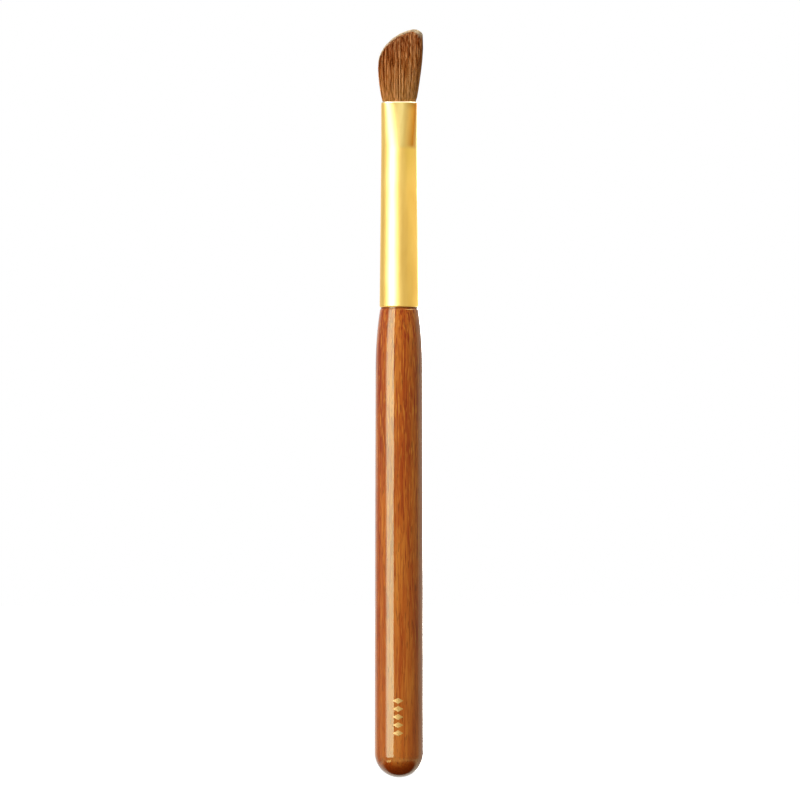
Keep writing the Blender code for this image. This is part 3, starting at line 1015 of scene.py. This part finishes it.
@dataclass
class Tuft:
    """Bundle of hair, fanned out above the mouth, with tips that end on a rounded slant.

    Widths across the brush are for its left or right side, as seen from the front.
    """

    COUNTS: ClassVar[tuple[str, ...]] = ("sides", "seed")
    SIZES: ClassVar[tuple[str, ...]] = (
        "hair_diameter", "tip_share", "thin_from", "wave", "wave_pace", "root_crowding",
        "swell_rise", "swell_end")

    ferrule: Ferrule
    height: float = 15.6 * MM
    root_depth: float = 0.6 * MM
    root_recess: float = 0.5 * MM
    left_belly: float = 4.54 * MM
    left_belly_height: float = 7.2 * MM
    right_belly: float = 5.1 * MM
    right_belly_height: float = 12.2 * MM
    belly_thickness: float = 6.6 * MM
    belly_thickness_height: float = 5.2 * MM
    tip_thickness: float = 3.2 * MM
    belly_hold: float = 1.3
    peak_place: float = 0.62
    left_drop: float = 7.7 * MM
    slant_power: float = 0.72
    right_drop: float = 1.5 * MM
    side_drop: float = 1.6 * MM
    drop_roundness: float = 0.99
    squareness: float = 2.6
    swell: float = 0.15 * MM
    swell_rise: float = 0.6 * MM
    swell_end: float = 6.5 * MM
    swell_power: int = 4
    clumps: int = 1300
    gather: float = 0.42
    root_gather: float = 0.22
    gather_power: float = 1.5
    lean: float = 0.022
    unevenness: float = 0.28 * MM
    pale_length: float = 0.95 * MM
    corner_pale_length: float = 1.7 * MM
    shortest_pale: float = 0.01 * MM
    pale_reach: float = 0.8
    pale_range: tuple[float, float] = (0.6, 1.2)
    clump_tone: float = 0.6
    clump_scatter: float = 0.015
    # A real hair is 0.03 to 0.06 mm thick, so each of these stands for a few and shows alone
    hair_diameter: float = 0.078 * MM
    tip_share: float = 0.4
    thin_from: float = 0.7
    wave: float = 0.22 * MM
    wave_pace: float = 3.6
    tone_spread: float = 997.0
    root_crowding: float = 1.6
    sides: int = 3
    root_steps: int = 96
    bore_steps: int = 12
    thread_radius: float = 0.25 * MM
    thread_band: float = 0.35 * MM
    seed: int = 3

    def belly(self, height: float, belly_height: float) -> float:
        """Give the share of the way from the mouth's size to the belly's at a height."""
        return math.sin(math.pi / 2 * min(height / belly_height, self.belly_hold))

    def half_width(self, side: float, height: float) -> float:
        """Give the half width on the left or the right, at a height above the mouth."""
        mouth = self.ferrule.mouth_width / 2 - self.ferrule.wall
        if side < 0:
            return blend(mouth, self.left_belly, self.belly(height, self.left_belly_height))
        return blend(mouth, self.right_belly, self.belly(height, self.right_belly_height))

    def half_thickness(self, height: float) -> float:
        """Give the half thickness at a height above the mouth."""
        mouth = self.ferrule.mouth_thickness / 2 - self.ferrule.wall
        if height < self.belly_thickness_height:
            return blend(mouth, self.belly_thickness / 2, self.belly(height, self.belly_thickness_height))
        above = (height - self.belly_thickness_height) / (self.height - self.belly_thickness_height)
        return blend(self.belly_thickness / 2, self.tip_thickness / 2, min(above, 1.0) ** 2)

    def point(self, across: float, through: float, height: float) -> Vector:
        """Give the place of a hair at a height above the mouth, from its share of the section."""
        return Vector((
            across * self.half_width(across, height),
            through * self.half_thickness(height),
            self.ferrule.mouth + height,
        ))

    def round_drop(self, share: float) -> float:
        """Give the drop of a quarter round at a share of its reach."""
        reach = self.drop_roundness * min(share, 1.0)
        return 1 - math.sqrt(1 - reach * reach)

    def tip_height(self, across: float, through: float) -> float:
        """Give the height above the mouth at which a hair ends."""
        if across < self.peak_place:
            share = (self.peak_place - across) / (self.peak_place + 1)
            slant = self.left_drop * self.round_drop(share ** self.slant_power)
        else:
            share = (across - self.peak_place) / (1 - self.peak_place)
            slant = self.right_drop * self.round_drop(share)
        return self.height - slant - self.side_drop * self.round_drop(abs(through))

    def lay_out_clumps(self, draw: random.Random) -> list[Clump]:
        """Spread the clumps over the section on a spiral."""
        golden_turn = math.pi * (3 - math.sqrt(5))
        laid = []
        for index in range(self.clumps):
            share = math.sqrt((index + 0.5) / self.clumps)
            across, through = rounded_square(index * golden_turn, self.squareness)
            across = across * share + draw.gauss(0.0, self.clump_scatter)
            through = through * share + draw.gauss(0.0, self.clump_scatter)
            lean_across = draw.gauss(0.0, self.lean)
            lean_through = draw.gauss(0.0, self.lean)
            laid.append(Clump(across, through, lean_across, lean_through, draw.random()))
        return laid

    def lay_hair(self, layer: HairLayer, clumps: Sequence[Clump], nearest: KDTree,
                 draw: random.Random) -> Hair:
        """Lay one hair of a layer, drawn towards its nearest clump.

        Args:
            layer: The layer of the bundle.
            clumps: Every clump.
            nearest: Finds the clump nearest a place.
            draw: Source of chance.

        Returns:
            The hair.
        """
        share = math.sqrt(draw.uniform(layer.inner ** 2, layer.outer ** 2))
        side, front = rounded_square(draw.uniform(0.0, math.tau), self.squareness)
        across = side * share
        through = front * share
        clump = clumps[nearest.find((across, through, 0.0))[1]]
        end_across = blend(across, clump.across + clump.lean_across, self.gather)
        end_through = blend(through, clump.through + clump.lean_through, self.gather)
        across = blend(across, clump.across, self.root_gather)
        through = blend(through, clump.through, self.root_gather)
        length = self.tip_height(end_across, end_through) - abs(draw.gauss(0.0, self.unevenness))
        path = []
        for part in (0.0, 1 / 3, 2 / 3, 1.0):
            bent = part ** self.gather_power
            spot = blend(across, end_across, bent), blend(through, end_through, bent)
            path.append(self.point(*spot, blend(-self.root_depth, length, part)))
        # A cubic curve with these two middle points passes through all four points of the path
        start, first, second, end = path
        rise = (-5 * start + 18 * first - 9 * second + 2 * end) / 6
        fall = (2 * start - 9 * first + 18 * second - 5 * end) / 6
        outwards = Vector((start.x, start.y, 0.0)).normalized()
        swell = self.swell * share ** self.swell_power * outwards
        corner = max(0.0, (end_across - self.peak_place) / (1 - self.peak_place))
        edge = max(0.0, 1 - abs(end_through) / self.pale_reach)
        pale = blend(self.pale_length * edge, self.corner_pale_length, corner)
        pale = pale * draw.uniform(*self.pale_range) + self.shortest_pale
        tone = blend(draw.random(), clump.tone, self.clump_tone)
        return Hair(start, rise, fall, end, swell, length + self.root_depth, pale, tone)

    def roots(self, layer: HairLayer) -> bpy.types.Mesh:
        """Make one point for each hair of a layer, with what the recipe reads there."""
        draw = random.Random(self.seed)
        clumps = self.lay_out_clumps(draw)
        nearest = KDTree(len(clumps))
        for index, clump in enumerate(clumps):
            nearest.insert((clump.across, clump.through, 0.0), index)
        nearest.balance()
        hairs = [self.lay_hair(layer, clumps, nearest, draw) for _ in range(layer.hairs)]
        mesh = bpy.data.meshes.new(layer.piece_name + "_roots")
        mesh.from_pydata([hair.start for hair in hairs], [], [])
        for name in Hair._fields:
            store(mesh, name, [getattr(hair, name) for hair in hairs])
        return mesh

    def course(self, recipe: Recipe, own: dict[str, Socket], along: Socket) -> tuple[Socket, Socket]:
        """Lead a hair along its curve, aside by its swell at the rim and by its wave.

        Args:
            recipe: The recipe that grows the hairs.
            own: What is stored for each hair.
            along: Share of the way from its root to its tip.

        Returns:
            The place on the curve and the way aside.
        """
        node = recipe.node
        given = recipe.given
        curve = [own[name] for name in ("start", "rise", "fall", "end")]
        while len(curve) > 1:
            curve = [node("ShaderNodeMix", {
                "Factor_Float": along, "A_Vector": first, "B_Vector": second}, "Result_Vector",
                data_type="VECTOR") for first, second in zip(curve, curve[1:])]
        height = node(SEPARATE, (curve[0],), "Z")
        height = node(MATH, (height, given["mouth"]), operation="SUBTRACT")
        rising = node(MAP_RANGE, (height, 0.0, given["swell_rise"]), interpolation_type="SMOOTHSTEP")
        ending = node(MAP_RANGE, (
            height, given["swell_rise"], given["swell_end"], 1.0, 0.0), interpolation_type="SMOOTHSTEP")
        swollen = node(MATH, (rising, ending), operation="MULTIPLY")
        swell = node(VECTOR_MATH, {0: own["swell"], "Scale": swollen}, operation="SCALE")
        sample = node(MATH, (own["tone"], self.tone_spread, given["seed"]), operation="MULTIPLY_ADD")
        noise = node("ShaderNodeTexNoise", {
            "Vector": node(COMBINE, (sample, along)), "Scale": given["wave_pace"], "Detail": 1.0}, "Color")
        centred = node(VECTOR_MATH, (noise, (0.5, 0.5, 0.5)), operation="SUBTRACT")
        strength = node(MATH, (along, given["wave"]), operation="MULTIPLY")
        waved = node(VECTOR_MATH, {0: centred, "Scale": strength}, operation="SCALE")
        return curve[0], node(VECTOR_MATH, (swell, waved), operation="ADD")

    def recipe(self) -> Recipe:
        """Make the recipe that grows one tapered, slightly wavy hair at each root."""
        recipe = Recipe.start(
            "bristles", **dict.fromkeys(("hair_points", *self.COUNTS), "Int"),
            **dict.fromkeys(("mouth", *self.SIZES), "Float"))
        node = recipe.node
        given = recipe.given
        own = {name: node(
            "GeometryNodeInputNamedAttribute", {"Name": name},
            data_type="FLOAT_VECTOR" if kind is Vector else "FLOAT")
            for name, kind in Hair.__annotations__.items()}
        line = node("GeometryNodeCurvePrimitiveLine", {"End": (0.0, 0.0, 1.0)})
        divided = node("GeometryNodeResampleCurve", {"Curve": line, "Count": given["hair_points"]})
        grown = node("GeometryNodeInstanceOnPoints", {"Points": given["Geometry"], "Instance": divided})
        geometry = node("GeometryNodeRealizeInstances", {"Geometry": grown})
        even = node("GeometryNodeSplineParameter", output="Factor")
        along = node(MATH, (even, given["root_crowding"]), operation="POWER")
        to_tip = node(MATH, (1.0, along), operation="SUBTRACT")
        to_tip = node(MATH, (to_tip, own["length"]), operation="MULTIPLY")
        for name, value in (("along", along), ("tip_distance", to_tip)):
            geometry = node("GeometryNodeStoreNamedAttribute", {
                "Geometry": geometry, "Name": name, "Value": value}, data_type="FLOAT", domain="POINT")
        place, aside = self.course(recipe, own, along)
        bent = node("GeometryNodeSetPosition", {"Geometry": geometry, "Position": place, "Offset": aside})
        thinning = node(MAP_RANGE, (
            along, given["thin_from"], 1.0, 1.0, given["tip_share"]), interpolation_type="SMOOTHSTEP")
        tapered = node("GeometryNodeSetCurveRadius", {"Curve": bent, "Radius": thinning})
        radius = node(MATH, (given["hair_diameter"], 0.5), operation="MULTIPLY")
        profile = node("GeometryNodeCurvePrimitiveCircle", {"Resolution": given["sides"], "Radius": radius})
        recipe.end(node("GeometryNodeCurveToMesh", {
            "Curve": tapered, "Profile Curve": profile, "Fill Caps": True}))
        return recipe

    def root_levels(self) -> list[Level]:
        """Give the sections of the root inside the tube, with a waist where the thread ties it."""
        gap = self.ferrule.fit_gap
        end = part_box("hair_tuft")[0][2]
        low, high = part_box("root_binding_thread")
        bottom = low[2] - gap
        top = high[2] + gap
        waist = high[0] - self.thread_radius - self.thread_band - gap
        face = self.ferrule.mouth - self.root_recess
        levels = [Level(end, 0.0, 0.0), self.ferrule.bore(end), self.ferrule.bore(bottom)]
        levels += [Level(height, waist, waist) for height in (bottom, top)]
        for step in range(self.bore_steps + 1):
            levels.append(self.ferrule.bore(blend(top, face, step / self.bore_steps)))
        levels.append(Level(face, 0.0, 0.0))
        return levels

    def build(self) -> None:
        """Grow each layer of hair, make the root and dress them."""
        recipe = self.recipe()
        finish = BrushHair().build()
        values = {name: getattr(self, name) for name in (*self.COUNTS, *self.SIZES)}
        values |= {"mouth": self.ferrule.mouth, "finish": finish}
        for layer in HairLayer:
            values["hair_points"] = layer.segments + 1
            hairs = recipe.grow(self.roots(layer), layer.piece_name, values, HAIR_LOOK)
            dress(hairs, "brown_hair", "hair_tuft")
        root = loft("tuft_root", self.root_levels(), self.root_steps, finish)
        dress(root, "brown_hair", "hair_tuft")


class Seen(Enum):
    """Which of the brush's surfaces a lamp lights: by reflection, or matt."""

    SHEEN = (True, False)
    MATT = (False, True)


def facing_axis(azimuth: float, elevation: float, distance: float, aim: float) -> Matrix:
    """Give the place from which a flat thing faces the brush's axis.

    Args:
        azimuth: Degrees round the brush; 0 is the camera's side, positive to the right.
        elevation: Degrees above the height that it aims at.
        distance: Distance from the point that it aims at.
        aim: Height of that point.

    Returns:
        The matrix, whose +Z looks away from the brush.
    """
    turned = Matrix.Rotation(math.radians(azimuth), 4, "Z")
    tilted = Matrix.Rotation(math.radians(90 - elevation), 4, "X")
    aimed = Matrix.Translation((0.0, 0.0, aim))
    return aimed @ turned @ tilted @ Matrix.Translation((0.0, 0.0, distance))


@dataclass(frozen=True)
class Softbox:
    """Rectangular lamp that faces the brush's axis; a radiance of 1 is as bright as white."""

    name: str
    azimuth: float
    width: float
    height: float
    radiance: float
    seen: Seen
    colour: str = "#FFFFFF"
    elevation: float = 0.0
    distance: float = 0.6
    aim: float = 0.08
    fade: float = 0.0

    def place(self) -> None:
        """Hang the lamp round the brush."""
        data = bpy.data.lights.new(self.name, "AREA")
        data.shape = "RECTANGLE"
        data.size = self.width
        data.size_y = self.height
        data.energy = self.radiance * math.pi * self.width * self.height
        data.color = linear(self.colour)[:3]
        if self.fade:
            self.fade_edge(data)
        lamp = add_object(self.name, data)
        lamp.matrix_world = facing_axis(self.azimuth, self.elevation, self.distance, self.aim)
        lamp.visible_camera = False
        lamp.visible_glossy, lamp.visible_diffuse = self.seen.value

    def fade_edge(self, data: bpy.types.Light) -> None:
        """Let the lamp's far edge fade out over a share of its width."""
        data.use_nodes = True
        net = Net(data.node_tree)
        spot = net.node("ShaderNodeNewGeometry", output="Parametric")
        side = net.node(SEPARATE, (spot,))
        strength = net.node(MAP_RANGE, (side, 0.0, self.fade), interpolation_type="SMOOTHSTEP")
        net.tree.links.new(strength, net.tree.nodes["Emission"].inputs["Strength"])


@dataclass(frozen=True)
class BlackCard:
    """Black card or net that only the brush's reflections see, with an edge that may fade out."""

    name: str
    azimuth: float
    width: float
    height: float
    elevation: float = 0.0
    distance: float = 0.6
    aim: float = 0.12
    cover: float = 1.0
    fade: float = 0.0

    def place(self) -> None:
        """Put the card beside the brush."""
        draft = Draft.start("black_card", Roughness=1.0, Specular_IOR_Level=0.0, Alpha=self.cover)
        draft.shader.inputs["Base Color"].default_value = linear("#000000")
        placed = facing_axis(self.azimuth, self.elevation, self.distance, self.aim)
        placed @= Matrix.Diagonal((self.width, self.height, 1.0, 1.0))
        if self.fade:
            self.fade_edge(draft)
        card = add_sheet(self.name, placed, draft.material)
        card.visible_camera = False
        card.visible_diffuse = False
        card.visible_shadow = False

    def fade_edge(self, draft: Draft) -> None:
        """Let the card turn clear towards its edge, over a share of its half size."""
        node = draft.node
        corner = node("ShaderNodeTexCoord", output="UV")
        across = node(VECTOR_MATH, (corner, (-0.5, -0.5, 0.0)), operation="ADD")
        reach = node(VECTOR_MATH, (across,), "Value", operation="LENGTH")
        draft.feed("Alpha", node(MAP_RANGE, (
            reach, 0.5, 0.5 - self.fade / 2, 0.0, self.cover), interpolation_type="SMOOTHSTEP"))


def add_sheet(name: str, placed: Matrix, finish: bpy.types.Material) -> bpy.types.Object:
    """Add a flat sheet to the studio.

    Args:
        name: The sheet's name.
        placed: Matrix that takes the unit square to its place.
        finish: Its material.

    Returns:
        The sheet, which is no part of the brush.
    """
    builder = bmesh.new()
    builder.loops.layers.uv.new("UVMap")
    bmesh.ops.create_grid(builder, x_segments=1, y_segments=1, size=0.5, matrix=placed, calc_uvs=True)
    mesh = bpy.data.meshes.new(name)
    builder.to_mesh(mesh)
    builder.free()
    mesh.materials.append(finish)
    sheet = add_object(name, mesh)
    sheet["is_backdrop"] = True
    return sheet


@dataclass
class Studio:
    """Plain soft studio: a white surround, softboxes, a pale floor far below and a camera."""

    distance: float = 0.8
    view_height: float = 80.7 * MM
    view_aside: float = 0.15 * MM
    frame_height: float = 171.1 * MM
    sensor: float = 36.0
    nearest_seen: float = 0.01
    surround_light: float = 0.46
    floor_depth: float = 0.35
    floor_size: float = 14.0
    floor_glow: float = 0.62
    floor_colour: str = "#F4F3F1"
    floor_bounce: str = "#6A665F"
    floor_roughness: float = 0.9
    softboxes: tuple[Softbox, ...] = (
        Softbox("key", -38, 0.50, 0.70, 4.2, Seen.MATT, elevation=38),
        Softbox("key_sheen", -49, 0.50, 0.95, 16.5, Seen.SHEEN, "#9BB4FF", aim=0.305, fade=0.35),
        Softbox("top_sheen", 0, 0.90, 0.90, 2.6, Seen.SHEEN, "#E8EAFF", elevation=90, aim=0.12),
        Softbox("high_right_sheen", 62, 0.16, 0.16, 20.0, Seen.SHEEN, elevation=44, aim=0.09),
        Softbox("high_edge_sheen", 90, 0.34, 0.16, 11.8, Seen.SHEEN, elevation=35, aim=0.09),
        Softbox("low_left_sheen", -57, 0.06, 0.022, 5.0, Seen.SHEEN, elevation=-31,
                distance=0.14, aim=0.003),
        Softbox("back", 172, 0.50, 0.70, 2.6, Seen.MATT, elevation=30),
        Softbox("back_sheen", 160, 0.20, 0.60, 9.0, Seen.SHEEN),
    )
    cards: tuple[BlackCard, ...] = (
        BlackCard("right_net", 49, 1.48, 0.80, cover=0.5),
        BlackCard("left_net", -114, 0.34, 0.80, cover=0.5),
        BlackCard("low_card", 0, 0.46, 0.26, elevation=-80, distance=0.1, aim=0.0, fade=0.45),
    )

    def place_camera(self) -> None:
        """Put the camera level with the middle of the brush, straight in front of it."""
        data = bpy.data.cameras.new("view_camera")
        data.sensor_width = self.sensor
        data.lens = self.sensor * self.distance / self.frame_height
        data.clip_start = self.nearest_seen
        camera = add_object("view_camera", data)
        camera.location = (self.view_aside, -self.distance, self.view_height)
        camera.rotation_euler = (math.pi / 2, 0.0, 0.0)
        bpy.context.scene.camera = camera

    def white_rays(self, net: Net, low: float, high: float) -> Socket:
        """Give a strength that is high for camera, glossy and transmission rays, low for the rest."""
        path = net.node("ShaderNodeLightPath").node.outputs
        seen = path["Is Camera Ray"]
        for name in ("Is Glossy Ray", "Is Transmission Ray"):
            seen = net.node(MATH, (seen, path[name]), operation="MAXIMUM")
        return net.node(MAP_RANGE, (seen, 0.0, 1.0, low, high))

    def light_world(self) -> None:
        """Make the surround white where it is seen, and dimmer where it lights the brush."""
        world = bpy.data.worlds.new("white_surround")
        bpy.context.scene.world = world
        world.use_nodes = True
        net = Net(world.node_tree)
        background = net.tree.nodes["Background"]
        background.inputs["Color"].default_value = linear("#FFFFFF")
        net.tree.links.new(self.white_rays(net, self.surround_light, 1.0), background.inputs["Strength"])

    def lay_floor(self) -> None:
        """Lay a pale floor well below the brush, which is held up and doesn't stand on it."""
        draft = Draft.start("pale_floor", Roughness=self.floor_roughness)
        dimmed = draft.node("ShaderNodeLightPath", output="Is Diffuse Ray")
        draft.feed("Base Color", draft.node("ShaderNodeMix", {
            "Factor_Float": dimmed, "A_Color": linear(self.floor_colour),
            "B_Color": linear(self.floor_bounce)}, "Result_Color", data_type="RGBA"))
        draft.shader.inputs["Emission Color"].default_value = linear("#FFFFFF")
        draft.feed("Emission Strength", self.white_rays(draft, 0.0, self.floor_glow))
        spread = Matrix.Diagonal((self.floor_size, self.floor_size, 1.0, 1.0))
        below = Matrix.Translation((0.0, 0.0, -self.floor_depth))
        add_sheet("studio_floor", below @ spread, draft.material)

    def build(self) -> None:
        """Set up the whole studio."""
        bpy.context.scene.view_settings.view_transform = "Standard"
        self.place_camera()
        self.light_world()
        self.lay_floor()
        for thing in (*self.softboxes, *self.cards):
            thing.place()


def write_sizes(cad_box: tuple) -> None:
    """Work out the box of the solids and the box of the dressed brush as plain lists."""
    boxes = {"cad": cad_box, "visual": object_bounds()}
    plain = {name: [[float(value) for value in corner] for corner in box] for name, box in boxes.items()}


def main() -> None:
    """Dress the brush and light it."""
    logging.basicConfig(level=logging.INFO, format="%(message)s")
    cad_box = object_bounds()
    Studio().build()
    ferrule = Ferrule()
    ferrule.build()
    ferrule.dress_inside()
    Handle(ferrule).build()
    Tuft(ferrule).build()
    write_sizes(cad_box)


if __name__ == "__main__":
    main()
